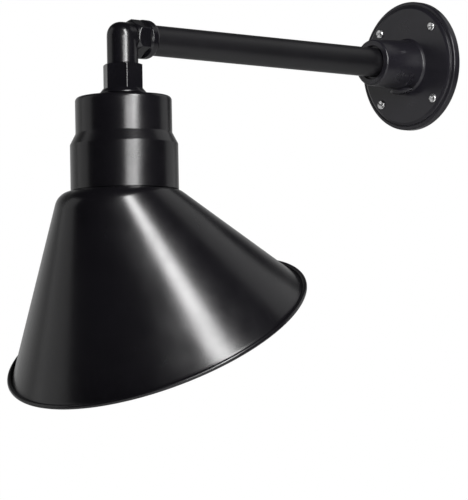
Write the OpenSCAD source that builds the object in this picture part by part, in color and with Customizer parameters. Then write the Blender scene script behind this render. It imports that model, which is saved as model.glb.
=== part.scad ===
// Wall-mounted angled-shade light: round wall cover, straight arm, elbow, swivel head and tilted cone shade.
// Origin: centre of the wall plane. +Y goes into the wall, the arm runs along -Y, +Z is up. Millimetres.

/* [Wall cover] */
// Outside diameter of the cast wall cover
cover_d = 113; // [106:1:120]
// Diameter of the circle through the four box screws
screw_pcd = 88.9; // [86:0.1:90]
// Depth of the cover, from the gasket to its front face
cover_depth = 8.8; // [7:0.1:12]
// Thickness of the gasket against the wall
gasket_t = 0.8; // [0.8:0.1:3]
// Length of the boss in front of the cover's face
boss_len = 43.4; // [28:0.1:45]
// Diameter of the boss where it meets the cover
boss_base_d = 44; // [40:0.2:48]
// Diameter of the boss at its front end
boss_tip_d = 40; // [34:0.2:42]

/* [Arm] */
// Outside diameter of the arm tube
arm_d = 25.4; // [24:0.1:26]
// Wall thickness of the arm tube
arm_wall = 1.6; // [1.2:0.1:2.5]
// Distance from the wall plane to the neck's axis
reach = 342; // [280:1:600]

/* [Elbow] */
// Diameter of the elbow's round body at the arm
elbow_d = 26; // [24:0.2:26.6]
// Size across the flats of the elbow's hexagon at the arm
arm_hex_af = 28; // [27.6:0.2:30]
// Diameter of the round gland cap behind that hexagon
gland_d = 32.4; // [31:0.2:36]
// Size across the flats of the swivel nut
swivel_af = 29.6; // [28.5:0.1:32]
// Length of the swivel nut
swivel_len = 20.2; // [16:0.2:24]

/* [Head] */
// Turn of the head about the neck's axis in the stored pose
head_yaw = 10; // [-60:1:60]
// Depth of the neck's top below the arm's axis
neck_top = 48.2; // [47:0.2:52]
// Diameter of the neck's upper tier
neck_upper_d = 79.4; // [77:0.2:82]
// Diameter of the neck's lower tier
neck_lower_d = 88.8; // [86:0.2:90]
// Wall thickness of the neck
neck_wall = 2; // [1.6:0.1:2.4]

/* [Shade] */
// Tilt of the shade's axis from the neck's axis, towards the wall
shade_tilt = 30; // [25:1:35]
// Half angle of the shade's cone
cone_half = 32.3; // [30:0.1:35]
// Diameter of the shade over its rolled rim
rim_d = 260.6; // [250:0.1:270]
// Thickness of the spun shade
shade_t = 1.2; // [0.8:0.1:1.6]
// Radius of the rounded edge of the shade's crown
crown_round = 20; // [8:0.5:24]

/* [Hidden] */

$fn = 96;
arc_steps = 8;      // straight steps in a quarter of a rounded corner
fit_gap = 0.05;     // radial clearance of a running fit
body_gap = 0.3;     // clearance between faces of parts that move past each other
snug = 0.02;        // clearance between parts of one body that are fixed in each other
through = 1;        // how far a cut runs past the face it opens

// Colours
black_paint = "#1c1b1e";
chrome = "#c9cbce";
zinc = "#b4b6b8";
brass = "#c6a24a";
rubber = "#141414";
green = "#2c8a44";

// Wall cover
cover_r = cover_d / 2;
cover_back = -gasket_t;
cover_front = -gasket_t - cover_depth;
cover_skin = 3;
cavity_r = cover_r - 4;
box_opening_r = 38;
screw_r = 2.08;             // No. 8 machine screw
screw_shank_r = 1.85;       // its plain shank, as thick as the rolled thread's pitch diameter
screw_hole_r = 2.4;
screw_stickout = 6.3;       // free end of a box screw behind the wall plane
screw_head_r = 3.9;
screw_head_h = 2.6;
screw_pos = screw_pcd / 2 / sqrt(2);
boss_front = cover_front - boss_len;
mouth_r = arm_d / 2 + 1.8;  // recess round the arm in the boss's front face
mouth_depth = 3;
lug_y = cover_front - 7;    // set-screw lug under the boss
lug_w = 28;
lug_len = 13;
lug_drop = 3.8;
set_screw_r = 2.5;
ground_x = -24;
ground_z = -16;

// Arm
arm_r = arm_d / 2;
arm_bore_r = arm_r - arm_wall;
arm_wall_end = -2.4;        // the arm's inner end, behind the cover's front skin
tube_start = 9.4;           // from the neck's axis to the arm's end in the elbow
arm_elbow_end = -reach + tube_start;
lead_r = 3.2;
wire_r = 1.2;
barrel_len = 5;             // crimp barrel of the ground terminal
bushing_len = 9;
lock_nut_t = 3;

// Elbow, measured from the neck's axis towards the wall
elbow_r = elbow_d / 2;
hex_start = 6.3;
hex_end = 19.3;
gland_end = 29.6;
gland_straight = 6.2;
gland_r = gland_d / 2;
hex_chamfer = 4.7;           // length of the round chamfer on the hexagon's corners
gland_chamfer = 1.3;
barrel_r = elbow_r - 0.5;    // the round body above the swivel nut
socket_start = tube_start - body_gap;
lead_way_r = 6.5;
nipple_r = 8.4;
nipple_bore_r = 5.6;
nipple_top = -26;
swivel_top = -22.4;
swivel_bottom = swivel_top - swivel_len;
spigot_bottom = -37;
spigot_r = elbow_r - 0.7;
flange_bottom = -neck_top + 1.6;
flange_top_r = 16.6;
flange_r = 19;

// Neck, with heights measured from the arm's axis
neck_z = -neck_top;
upper_r = neck_upper_d / 2;
lower_r = neck_lower_d / 2;
step_top = -79;
step_bottom = -88.4;
neck_foot = -126.2;       // the neck's lower edge
neck_corner = 3.5;
neck_dome = 0.9;
neck_gasket_t = 1.3;
washer_t = 1.1;
inner_nut_t = 4.2;
inner_nut_af = 22;
nipple_bottom = -62;

// Lampholder and its bracket
bracket_z = -66;
bracket_t = 1.5;
post_x = 25;
post_r = 4;
rib_reach = 34.5;
rib_r = 4;
holder_top = bracket_z - bracket_t;
holder_r = 20;
holder_skirt_r = 17.5;
holder_bottom = -104;
shell_r = 13.6;
shell_top = -78.5;
shell_t = 0.5;
holder_screw_x = 15.6;
terminal_z = -73;
cap_r = 12.7;
cap_top = -80.6;
cap_bottom = -101;
bulb_r = 30;
bulb_length = 108;

// Shade, in its own frame: origin where its axis crosses the neck's axis, +z towards the crown
shade_cross = -173;         // height of that crossing
rim_z = -78.6;
crown_z = 58;
seam_gap = 0.35;            // dark joint between the neck and the shade's level crown
shade_top = neck_foot - seam_gap;
bead_r = 2;
rim_r = rim_d / 2 - bead_r;
lip_w = 2.3;
cone_end_r = rim_r - lip_w;
crown_r = cone_end_r - (crown_z - rim_z) * tan(cone_half);
round_x = crown_r - crown_round * (1 - sin(cone_half)) / cos(cone_half);
round_z = crown_z - crown_round;
collar_r = lower_r - neck_wall - snug;
collar_t = 1.4;
collar_top = -109.5;
collar_foot = shade_top - 12; // the collar runs down into the tilted crown to this height
collar_flange_r = 31.2;
collar_flange_t = 1.5;
seal_t = 1.2;

// ---------------------------------------------------------------- helpers

// Points of an arc about c from angle a0 to a1
function arc(c, r, a0, a1, n = arc_steps) =
  [for (i = [0:n]) let (a = a0 + (a1 - a0) * i / n) [c[0] + r * cos(a), c[1] + r * sin(a)]];

// A solid that turns its axis from +Z to +Y, with its base at y
module along_y(y) {
  translate([0, y, 0]) rotate([-90, 0, 0]) children();
}

module rod_y(r, y0, y1) {
  along_y(y0) cylinder(r = r, h = y1 - y0);
}

module tube_y(r, bore, y0, y1) {
  difference() {
    rod_y(r, y0, y1);
    rod_y(bore, y0 - through, y1 + through);
  }
}

module rod_z(r, z0, z1) {
  translate([0, 0, z0]) cylinder(r = r, h = z1 - z0);
}

module tube_z(r, bore, z0, z1) {
  difference() {
    rod_z(r, z0, z1);
    rod_z(bore, z0 - through, z1 + through);
  }
}

// A hexagonal prism by its size across flats, with flats facing +X and -X
module hex_z(af, z0, z1) {
  translate([0, 0, z0]) rotate([0, 0, 30]) cylinder(r = af / 2 / cos(30), h = z1 - z0, $fn = 6);
}

// A wire of straight runs with round corners
module wire(points, r) {
  for (i = [0:len(points) - 2]) {
    run = points[i + 1] - points[i];
    length = norm(run);
    translate(points[i])
      rotate([0, acos(run[2] / length), atan2(run[1], run[0])])
      cylinder(r = r, h = length, $fn = 24);
  }
  if (len(points) > 2)
    for (i = [1:len(points) - 2]) translate(points[i]) sphere(r = 1.05 * r, $fn = 24);
}

module at_screws() {
  for (x = [-screw_pos, screw_pos], z = [-screw_pos, screw_pos]) translate([x, 0, z]) children();
}

// Where the elbow and the head are built: the neck's axis, and the head turned about it
module at_neck() {
  translate([0, -reach, 0]) children();
}

module at_head() {
  at_neck() rotate([0, 0, head_yaw]) children();
}

module at_shade() {
  translate([0, 0, shade_cross]) rotate([shade_tilt, 0, 0]) children();
}

// ---------------------------------------------------------------- wall side

// Profile of the cover: a side wall, a bead and a groove round the flat front face
module cover_profile() {
  bead = 1.5;
  face_r = cover_r - 6;
  polygon(concat(
    [[0, 0], [cover_r, 0]],
    arc([cover_r - bead, cover_depth - 3.4], bead, 0, 90),
    [[cover_r - 2.6, cover_depth - 1.9], [cover_r - 2.9, cover_depth - 2.6], [cover_r - 3.3, cover_depth - 1.9]],
    arc([face_r, cover_depth - 2.4], 2.4, 10, 90),
    [[0, cover_depth]]
  ));
}

// Profile of the boss, tapered, with a rounded front edge and a small fillet at its foot
module boss_profile() {
  nose = 2.2;
  foot = 1.6;
  base_r = boss_base_d / 2;
  tip_r = boss_tip_d / 2;
  polygon(concat(
    [[0, -cover_skin], [base_r + foot, -cover_skin], [base_r + foot, 0]],
    arc([base_r + foot, foot], foot, 270, 180),
    arc([tip_r - nose, boss_len - nose], nose, 0, 90),
    [[0, boss_len]]
  ));
}

module wall_cover() {
  color(black_paint)
  difference() {
    union() {
      translate([0, cover_back, 0]) rotate([90, 0, 0]) rotate_extrude() cover_profile();
      translate([0, cover_front, 0]) rotate([90, 0, 0]) rotate_extrude() boss_profile();
      set_screw_lug();
    }
    difference() {
      rod_y(cavity_r, cover_front + cover_skin, cover_back + through);
      at_screws() rod_y(5.5, cover_front, cover_back + through);
      translate([ground_x, 0, ground_z]) rod_y(4.5, cover_front, cover_back - 1.4);
    }
    rod_y(arm_r + fit_gap, boss_front - through, cover_back + through);
    rod_y(mouth_r, boss_front - through, boss_front + mouth_depth);
    at_screws() rod_y(screw_hole_r, cover_front - through, cover_back + through);
    translate([0, lug_y, 0]) rod_z(set_screw_r, -boss_base_d, 0);
    translate([ground_x, 0, ground_z]) rod_y(1.6, cover_front + 1.5, cover_back + through);
  }
}

// The lens-shaped lug under the boss that the set screw goes through
module set_screw_lug() {
  lug_r = (pow(lug_w / 2, 2) + pow(lug_len / 2, 2)) / lug_len;
  lug_t = 7;
  translate([0, lug_y, -boss_base_d / 2 - lug_drop])
  intersection() {
    translate([0, lug_len / 2 - lug_r, 0]) cylinder(r = lug_r, h = lug_t);
    translate([0, lug_r - lug_len / 2, 0]) cylinder(r = lug_r, h = lug_t);
  }
}

module cover_gasket() {
  color(rubber)
  difference() {
    rod_y(cover_r - 0.8, -gasket_t, 0);
    rod_y(box_opening_r, -gasket_t - through, through);
    at_screws() rod_y(screw_hole_r, -gasket_t - through, through);
  }
}

// Round-head box screws with a combined slot and cross: a plain shank in the cover, and a thread behind the wall plane
module cover_screws() {
  ball_r = (pow(screw_head_r, 2) + pow(screw_head_h, 2)) / (2 * screw_head_h);
  color(chrome)
  at_screws() {
    rod_y(screw_shank_r, cover_front - 0.1, 0.1);
    rod_y(screw_r, 0, screw_stickout);
    difference() {
      intersection() {
        translate([0, cover_front - screw_head_h + ball_r, 0]) sphere(r = ball_r);
        rod_y(screw_head_r, cover_front - screw_head_h - through, cover_front);
      }
      rotate([0, 30, 0]) translate([0, cover_front - screw_head_h, 0]) cube([2 * screw_head_r + 2, 2, 1], center = true);
      rotate([0, 30, 0]) translate([0, cover_front - screw_head_h, 0]) cube([1, 3, 3.6], center = true);
    }
  }
}

module arm_set_screw() {
  foot_z = -boss_base_d / 2 - lug_drop + 0.8;
  color(zinc)
  translate([0, lug_y, 0])
  difference() {
    rod_z(set_screw_r - snug, foot_z, -arm_r - fit_gap);
    hex_z(2.5, foot_z - through, foot_z + 2.5);
  }
}

module ground_screw() {
  color(green)
  translate([ground_x, 0, ground_z])
  difference() {
    union() {
      rod_y(1.6 - snug, cover_front + 2, cover_back - 0.5);
      along_y(cover_back - 0.5) cylinder(r = 4, h = 2.2, $fn = 6);
    }
    translate([0, cover_back + 1.8, 0]) cube([9, 1.6, 0.9], center = true);
  }
}

module ground_terminal() {
  color(brass)
  translate([ground_x, 0, ground_z]) {
    tube_y(3.8, 1.7, cover_back - 1.35, cover_back - 0.55);
    translate([3.4, cover_back - 1.35, -1.4]) cube([2.2, 0.8, 2.8]);
    translate([5, cover_back - 0.95, 0]) rotate([0, 90, 0]) difference() {
      cylinder(r = 1.9, h = barrel_len);
      translate([0, 0, 0.8]) cylinder(r = wire_r + snug, h = barrel_len);
    }
  }
}

// Wires from the end of the arm to the connectors, inside the wall box
module live_wire() {
  color("black")
  wire([[1.6, -1.2, 0], [2.4, 4, 1.5], [12, 14, 13], [12, 21, 13]], wire_r);
}

module neutral_wire() {
  color("white")
  wire([[-1.6, -1.2, 0], [-2.4, 4, 1.5], [-12, 14, 13], [-12, 21, 13]], wire_r);
}

module ground_wire() {
  barrel_end = ground_x + 5 + barrel_len;
  color(green)
  wire([[barrel_end - 3, cover_back - 0.95, ground_z], [0, cover_back - 0.95, ground_z], [0, 21, ground_z]], wire_r);
}

// Twist-on wire connectors
module wire_connectors() {
  color("orange")
  for (place = [[12, 13], [-12, 13], [0, ground_z]])
    translate([place[0], 16 + snug, place[1]]) rotate([-90, 0, 0])
    difference() {
      union() {
        cylinder(r = 5.6, h = 6);
        translate([0, 0, 6]) cylinder(r1 = 5.6, r2 = 3.4, h = 13);
      }
      translate([0, 0, -through]) cylinder(r = 2.8, h = 12 + through);
    }
}

// ---------------------------------------------------------------- arm

module arm_tube() {
  color(black_paint)
  tube_y(arm_r, arm_bore_r, arm_elbow_end, arm_wall_end);
}

// Conduit nut that holds the arm in the cover, behind its front skin
module arm_lock_nut() {
  nut_y = cover_front + cover_skin + body_gap;
  color(zinc)
  difference() {
    along_y(nut_y) cylinder(r = 18.4, h = lock_nut_t, $fn = 6);
    rod_y(arm_r + snug, nut_y - through, nut_y + lock_nut_t + through);
  }
}

// A plastic bushing in each end of the arm keeps the lead off the tube's edge
module lead_bushings() {
  color("white") {
    tube_y(arm_bore_r - fit_gap, lead_r + snug, arm_wall_end - bushing_len, arm_wall_end);
    tube_y(arm_bore_r - fit_gap, lead_r + snug, arm_elbow_end, arm_elbow_end + bushing_len);
  }
}

module arm_lead() {
  color("dimgray")
  rod_y(lead_r, arm_elbow_end, arm_wall_end);
}

// ---------------------------------------------------------------- elbow

module elbow_body() {
  hex_corner_r = arm_hex_af / 2 / cos(30);
  color(black_paint)
  at_neck()
  difference() {
    union() {
      sphere(r = elbow_r);
      rod_z(barrel_r, swivel_top, 0);
      rod_z(spigot_r, spigot_bottom, swivel_top);
      rod_y(elbow_r, 0, hex_start + 1);
      intersection() {
        along_y(hex_start) rotate([0, 0, 30]) cylinder(r = hex_corner_r, h = hex_end - hex_start, $fn = 6);
        along_y(hex_start) union() {
          cylinder(r1 = elbow_r - 0.1, r2 = hex_corner_r + 0.2, h = hex_chamfer);
          translate([0, 0, hex_chamfer]) cylinder(r = hex_corner_r + 0.2, h = hex_end - hex_start);
        }
      }
    }
    rod_y(lead_way_r, 0, hex_end);
    rod_y(arm_r + fit_gap, socket_start, hex_end + through);
    rod_z(lead_way_r, nipple_top - through, 0);
    sphere(r = lead_way_r);
    rod_z(nipple_r + snug, spigot_bottom - through, nipple_top);
  }
}

// Round cap that closes the gland; it is rounded down to the arm at its far end
module gland_cap() {
  round_len = gland_end - hex_end - gland_straight;
  drop = gland_r - arm_r - 0.8;
  color(black_paint)
  at_neck() along_y(hex_end + snug)
  difference() {
    rotate_extrude() polygon(concat(
      [[0, 0], [gland_r - gland_chamfer, 0], [gland_r, gland_chamfer]],
      [for (i = [0:10]) let (a = 9 * i)
        [gland_r - drop * (1 - cos(a)), gland_straight + round_len * sin(a)]],
      [[0, gland_straight + round_len]]
    ));
    translate([0, 0, -through]) cylinder(r = arm_r + fit_gap, h = gland_end);
    translate([0, 0, 2.6]) cylinder(r = arm_r + 2, h = 3.2);
  }
}

module gland_seal() {
  color(rubber)
  at_neck()
  tube_y(arm_r + 2 - snug, arm_r + fit_gap, hex_end + 2.6 + 2 * snug, hex_end + 5.8);
}

// Hexagonal nut round the elbow's spigot, with its corners chamfered at the top
module swivel_nut() {
  corner_r = swivel_af / 2 / cos(30);
  chamfer = 1.2;
  color(black_paint)
  at_neck()
  difference() {
    intersection() {
      hex_z(swivel_af, swivel_bottom, swivel_top);
      union() {
        rod_z(corner_r + 0.2, swivel_bottom, swivel_top - chamfer);
        translate([0, 0, swivel_top - chamfer])
          cylinder(r1 = corner_r + 0.2, r2 = corner_r - 2.2, h = chamfer);
      }
    }
    rod_z(spigot_r + snug, spigot_bottom, swivel_top + through);
    rod_z(nipple_r + snug, swivel_bottom - through, spigot_bottom + through);
  }
}

module swivel_flange() {
  height = swivel_bottom - flange_bottom;
  color(black_paint)
  at_neck()
  difference() {
    translate([0, 0, flange_bottom]) rotate_extrude() polygon([
      [0, 0], [flange_r - 0.5, 0], [flange_r, 0.5], [flange_r, 1], [flange_top_r, height], [0, height]
    ]);
    rod_z(nipple_r + snug, flange_bottom - through, swivel_bottom + through);
  }
}

// Threaded tube that carries the head
module swivel_nipple() {
  color(zinc)
  at_neck() tube_z(nipple_r, nipple_bore_r, nipple_bottom, nipple_top);
}

module lock_nut() {
  top = neck_z - neck_wall - neck_dome - washer_t - body_gap;
  color(zinc)
  at_neck()
  difference() {
    hex_z(inner_nut_af, top - inner_nut_t, top);
    rod_z(nipple_r + snug, top - inner_nut_t - through, top + through);
  }
}

// Sleeved lead through the elbow: in from the arm, round the bend and down the nipple
module elbow_lead() {
  bend = 5;
  color("dimgray")
  at_neck() {
    rod_y(lead_r, bend, tube_start - body_gap);
    translate([0, bend, -bend]) rotate([0, -90, 180])
      rotate_extrude(angle = 90) translate([bend, 0]) circle(r = lead_r);
    rod_z(lead_r, nipple_bottom, -bend);
  }
}

// ---------------------------------------------------------------- head

// Outline of the neck: a slightly domed top, a rounded corner, two tiers and a taper between them
module neck_outline(inset) {
  top = neck_z - inset;
  round = max(neck_corner - inset, 0.5);
  r1 = upper_r - inset;
  r2 = lower_r - inset;
  polygon(concat(
    [[0, top], [flange_r, top]],
    arc([r1 - round, top - neck_dome - round], round, 80, 0),
    [[r1, step_top - inset * 0.25], [r2, step_bottom - inset * 0.25], [r2, neck_foot - inset], [0, neck_foot - inset]]
  ));
}

module neck_housing() {
  color(black_paint)
  at_head()
  difference() {
    union() {
      difference() {
        rotate_extrude() neck_outline(0);
        rotate_extrude() neck_outline(neck_wall);
      }
      for (side = [-1, 1]) translate([side * post_x, 0, 0]) rod_z(post_r, bracket_z, neck_z - neck_wall);
      for (turn = [30, 150, 270]) rotate([0, 0, turn]) translate([rib_reach, 0, 0])
        rod_z(rib_r, collar_top + snug, neck_z - neck_wall - 3);
    }
    rod_z(nipple_r + fit_gap, neck_z - 2 * neck_wall, neck_z + through);
    for (side = [-1, 1]) translate([side * post_x, 0, 0]) rod_z(1.6, bracket_z - through, bracket_z + 9);
    for (turn = [30, 150, 270]) rotate([0, 0, turn]) translate([rib_reach, 0, 0])
      rod_z(1.8, collar_top - through, collar_top + 10);
  }
}

module neck_gasket() {
  color(rubber)
  at_head() tube_z(flange_r - 1, nipple_r + fit_gap, neck_z, neck_z + neck_gasket_t);
}

module spring_washer() {
  top = neck_z - neck_wall - neck_dome;
  color(zinc)
  at_head() tube_z(14, nipple_r + fit_gap, top - washer_t, top + neck_dome);
}

// Bar across the neck that carries the lampholder
module holder_bracket() {
  length = 2 * (post_x + 5.5);
  width = 14;
  color(zinc)
  at_head()
  difference() {
    translate([-length / 2, -width / 2, bracket_z - bracket_t]) cube([length, width, bracket_t]);
    rod_z(5, bracket_z - 2 * bracket_t, bracket_z + through);
    for (x = [-post_x, post_x, -holder_screw_x, holder_screw_x])
      translate([x, 0, 0]) rod_z(1.7, bracket_z - 2 * bracket_t, bracket_z + through);
  }
}

// A pan-head screw: its head's seat at z, its shank towards +Z when up is 1
module pan_screw(shank_r, head_r, head_h, length, up) {
  mirror([0, 0, up > 0 ? 0 : 1])
  difference() {
    union() {
      translate([0, 0, -head_h]) cylinder(r = head_r, h = head_h);
      cylinder(r = shank_r, h = length);
    }
    translate([0, 0, -head_h]) cube([2 * head_r + 1, 0.9, 1.6], center = true);
  }
}

module bracket_screws() {
  color(zinc)
  at_head() for (x = [-post_x, post_x]) translate([x, 0, bracket_z - bracket_t])
    pan_screw(1.58, 3.2, 2, 8, 1);
}

module lampholder_body() {
  color("white")
  at_head()
  difference() {
    union() {
      rod_z(holder_r, -88, holder_top);
      translate([0, 0, -94]) cylinder(r1 = holder_skirt_r, r2 = holder_r, h = 6);
      rod_z(holder_skirt_r, holder_bottom, -94);
    }
    rod_z(shell_r, holder_bottom - through, shell_top);
    for (side = [-1, 1]) {
      translate([side * holder_screw_x, 0, 0]) rod_z(1.6, holder_top - 7, holder_top + through);
      translate([-3.4, side > 0 ? 15.2 : -25.2, terminal_z - 3.4]) cube([6.8, 10, holder_top - terminal_z + 4.4]);
      translate([0, 0, terminal_z]) rod_y(1.3, side > 0 ? 9 : -holder_r, side > 0 ? holder_r : -9);
    }
    rod_z(1.6, shell_top - through, holder_top - 5);
  }
}

module holder_screws() {
  color(zinc)
  at_head() for (x = [-holder_screw_x, holder_screw_x]) translate([x, 0, bracket_z])
    pan_screw(1.58, 3, 1.8, 7.5, -1);
}

// Threaded shell of the lampholder; its crests and roots are plain rings
module screw_shell() {
  color(brass)
  at_head() translate([0, 0, holder_bottom + 3]) difference() {
    cylinder(r = shell_r - snug, h = shell_top - holder_bottom - 3 - snug);
    translate([0, 0, -through]) cylinder(r = shell_r - shell_t, h = shell_top - holder_bottom - 3 - shell_t);
    translate([0, 0, shell_top - holder_bottom - 6]) cylinder(r = 7, h = 5);
  }
}

module centre_contact() {
  color(brass)
  at_head() {
    rod_z(1.55, shell_top, holder_top - 5.2);
    rod_z(4, shell_top - 0.9, shell_top);
  }
}

module terminal_screws() {
  color(brass)
  at_head() for (side = [0, 180]) rotate([0, 0, side]) translate([0, holder_r - 4.6, terminal_z])
    rotate([90, 0, 0]) pan_screw(1.28, 2.6, 1.4, 5, 1);
}

// Lead ends from the nipple over the bracket's edge and down to the two terminals
module tail() {
  wire([
    [0, -1.7, nipple_bottom - 1.7], [0, 1.5 - holder_r, bracket_z + 0.2], [0, 1.5 - holder_r, terminal_z]
  ], wire_r);
}

module live_tail() {
  color("black")
  at_head() rotate([0, 0, 180]) tail();
}

module neutral_tail() {
  color("ivory")
  at_head() tail();
}

// Bulb: screw cap, end contact and a pear-shaped glass
module bulb_cap() {
  color("silver")
  at_head() difference() {
    union() {
      rod_z(cap_r, cap_bottom, cap_top - 3);
      translate([0, 0, cap_top - 3]) cylinder(r1 = cap_r, r2 = 6, h = 2.4);
    }
    rod_z(cap_r - 0.5, cap_bottom - through, cap_top - 5);
  }
}

module bulb_contact() {
  color("dimgray")
  at_head() rod_z(3.6, cap_top - 0.6, cap_top + 0.9);
}

module bulb_glass() {
  neck_r = cap_r - 0.5 - snug;
  ball_z = cap_top - bulb_length + bulb_r;
  blend = 34;         // radius of the hollow curve between the bulb's ball and its neck
  join = asin((neck_r + blend) / (bulb_r + blend));
  blend_z = ball_z + (bulb_r + blend) * cos(join);
  color("white", 0.6)
  at_head() rotate_extrude() difference() {
    polygon(concat(
      [[0, cap_top - 6], [neck_r, cap_top - 6]],
      arc([neck_r + blend, blend_z], blend, 180, 270 - join),
      arc([0, ball_z], bulb_r, 90 - join, -90, 16)
    ));
    polygon(concat(
      [[0, cap_top - 7], [neck_r - 1, cap_top - 7]],
      arc([neck_r + blend, blend_z], blend + 1, 180, 270 - join),
      arc([0, ball_z], bulb_r - 1, 90 - join, -90, 16)
    ));
  }
}

// Outer outline of the shade: flat crown, rounded edge, cone, and down to its rim plane
module shade_outline() {
  polygon(concat(
    [[0, crown_z]],
    arc([round_x, round_z], crown_round, 90, cone_half),
    [[cone_end_r, rim_z], [0, rim_z]]
  ));
}

// The space inside the shade
module shade_hollow() {
  inner_end = cone_end_r - shade_t / cos(cone_half);
  slope = tan(cone_half);
  polygon(concat(
    [[0, crown_z - shade_t]],
    arc([round_x, round_z], crown_round - shade_t, 90, cone_half),
    [[inner_end + through * slope, rim_z - through], [0, rim_z - through]]
  ));
}

// Everything below a level plane, wide enough for the whole shade
module below(z) {
  side = 2 * rim_d;
  translate([-side / 2, -side / 2, z - side]) cube(side);
}

// The shade's crown is tilted with its axis and cut level; a collar stands in it and holds the neck
module shade() {
  color(black_paint)
  at_head()
  difference() {
    union() {
      intersection() {
        at_shade() rotate_extrude() shade_outline();
        below(shade_top);
      }
      at_shade() {
        translate([0, 0, rim_z]) cylinder(r = rim_r, h = shade_t);
        translate([0, 0, rim_z + shade_t / 2]) rotate_extrude() translate([rim_r, 0]) circle(r = bead_r, $fn = 24);
      }
      rod_z(collar_r, collar_foot, collar_top);
    }
    intersection() {
      at_shade() rotate_extrude() shade_hollow();
      below(shade_top - shade_t);
    }
    rod_z(collar_r - collar_t, collar_foot - through, collar_top - collar_flange_t);
    rod_z(collar_flange_r, collar_top - 2 * collar_flange_t, collar_top + through);
    for (turn = [30, 150, 270]) rotate([0, 0, turn]) translate([rib_reach, 0, 0])
      rod_z(1.9, collar_top - 2 * collar_flange_t, collar_top + through);
  }
}

// Seal between the shade's collar and the ribs' ring inside the neck
module shade_seal() {
  color(rubber)
  at_head()
  difference() {
    tube_z(collar_r - 0.4, collar_flange_r, collar_top + snug, collar_top + seal_t);
    for (turn = [30, 150, 270]) rotate([0, 0, turn]) translate([rib_reach, 0, 0])
      rod_z(rib_r + 0.3, collar_top - through, collar_top + 2 * seal_t);
  }
}

module shade_screws() {
  color(zinc)
  at_head() for (turn = [30, 150, 270])
    rotate([0, 0, turn]) translate([rib_reach, 0, collar_top - collar_flange_t])
    pan_screw(1.78, 3.1, 2, 10, 1);
}

// ---------------------------------------------------------------- nodes

wall_cover();
cover_gasket();
cover_screws();
arm_set_screw();
ground_screw();
ground_terminal();
live_wire();
neutral_wire();
ground_wire();
wire_connectors();
arm_tube();
arm_lock_nut();
lead_bushings();
arm_lead();
elbow_body();
gland_cap();
gland_seal();
swivel_nut();
swivel_flange();
swivel_nipple();
lock_nut();
elbow_lead();
neck_housing();
neck_gasket();
spring_washer();
holder_bracket();
bracket_screws();
lampholder_body();
holder_screws();
screw_shell();
centre_contact();
terminal_screws();
live_tail();
neutral_tail();
bulb_cap();
bulb_contact();
bulb_glass();
shade();
shade_seal();
shade_screws();
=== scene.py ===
"""Blender model of an angled-shade wall light, with its materials, light and camera, round its CAD frame.

The row frame is in metres: the wall plane is y = 0, the arm runs along -Y, +Z is up. Profiles are written in
millimetres and scaled once, by MM, when a mesh is made. Heights in the elbow's and the head's profiles are from
the arm's axis.
"""
import math

import bmesh
import bpy
from mathutils import Matrix, Vector


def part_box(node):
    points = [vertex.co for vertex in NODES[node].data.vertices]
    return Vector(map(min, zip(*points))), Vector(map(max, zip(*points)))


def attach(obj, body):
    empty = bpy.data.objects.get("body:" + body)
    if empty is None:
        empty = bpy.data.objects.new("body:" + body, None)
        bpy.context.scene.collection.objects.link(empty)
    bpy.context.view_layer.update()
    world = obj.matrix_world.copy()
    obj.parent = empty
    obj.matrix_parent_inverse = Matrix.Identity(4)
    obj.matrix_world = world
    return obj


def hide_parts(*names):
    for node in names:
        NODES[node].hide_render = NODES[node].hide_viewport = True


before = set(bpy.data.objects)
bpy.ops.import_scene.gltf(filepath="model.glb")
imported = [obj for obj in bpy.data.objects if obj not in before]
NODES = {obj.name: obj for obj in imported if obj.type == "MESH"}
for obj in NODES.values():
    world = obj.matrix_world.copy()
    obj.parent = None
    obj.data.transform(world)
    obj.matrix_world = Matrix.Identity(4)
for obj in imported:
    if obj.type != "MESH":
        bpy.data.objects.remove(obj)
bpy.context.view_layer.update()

MM = 0.001
PI = math.pi


# ---------------------------------------------------------------- sizes, from the frame

def box_mm(node):
    """Lowest and highest corner of a CAD node, in millimetres."""
    low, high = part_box(node)
    return Vector(low) / MM, Vector(high) / MM


def middle(node):
    """Centre of a CAD node's box, in millimetres."""
    low, high = box_mm(node)
    return (low + high) / 2


# the arm
ARM_R = (box_mm("arm_tube")[1].z - box_mm("arm_tube")[0].z) / 2
ARM_ENDS = (box_mm("arm_tube")[0].y, box_mm("arm_tube")[1].y)
ARM_BORE_R = ARM_R + 0.06
TUBE_WALL = 1.6

# the wall cover, its screws and what is behind it
COVER_R = (box_mm("wall_cover")[1].x - box_mm("wall_cover")[0].x) / 2
COVER_BACK = box_mm("wall_cover")[1].y
BOSS_FRONT = box_mm("wall_cover")[0].y
BOSS_LEN = 43.4
COVER_FRONT = BOSS_FRONT + BOSS_LEN
BOSS_BASE_R = 22.0
BOSS_TIP_R = 20.0
LUG_Z = -22.3
LUG_HALF = (14.0, 6.5, 3.5)
POST_START = 2.6
GROUND_POST = (-24, -16)
GASKET_HOLE_R = 38
CONNECTORS = ((12, 13), (-12, 13), (0, -16))
SCREW_CIRCLE = 88.9
SCREW_POS = middle("cover_screws").x + SCREW_CIRCLE / 2 / math.sqrt(2)
SCREW_TURNS = (0.50, 0.46, 2.50, 0.58)
SLOT_SIZE = (9.5, 1.6, 4.0)
CROSS_SIZE = (2.8, 0.8, 4.0)
SLOT_MID = 2.1
THREAD_PITCH = 0.79

# the elbow and the swivel, with lengths along the arm from the neck's axis
NECK_Y = middle("swivel_nipple").y
BARREL_R = 12.85
BARREL_FOOT = -22.6
BARREL_REACH = 9
ARM_HEX = 28.0
HEX_START = 6.3
HEX_END = 19.3
GLAND_R = 16.2
GLAND_START = 19.32
GLAND_END = box_mm("gland_cap")[1].y - NECK_Y
SWIVEL_HEX = 29.6
NIPPLE_HOLE_R = 8.45

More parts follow.
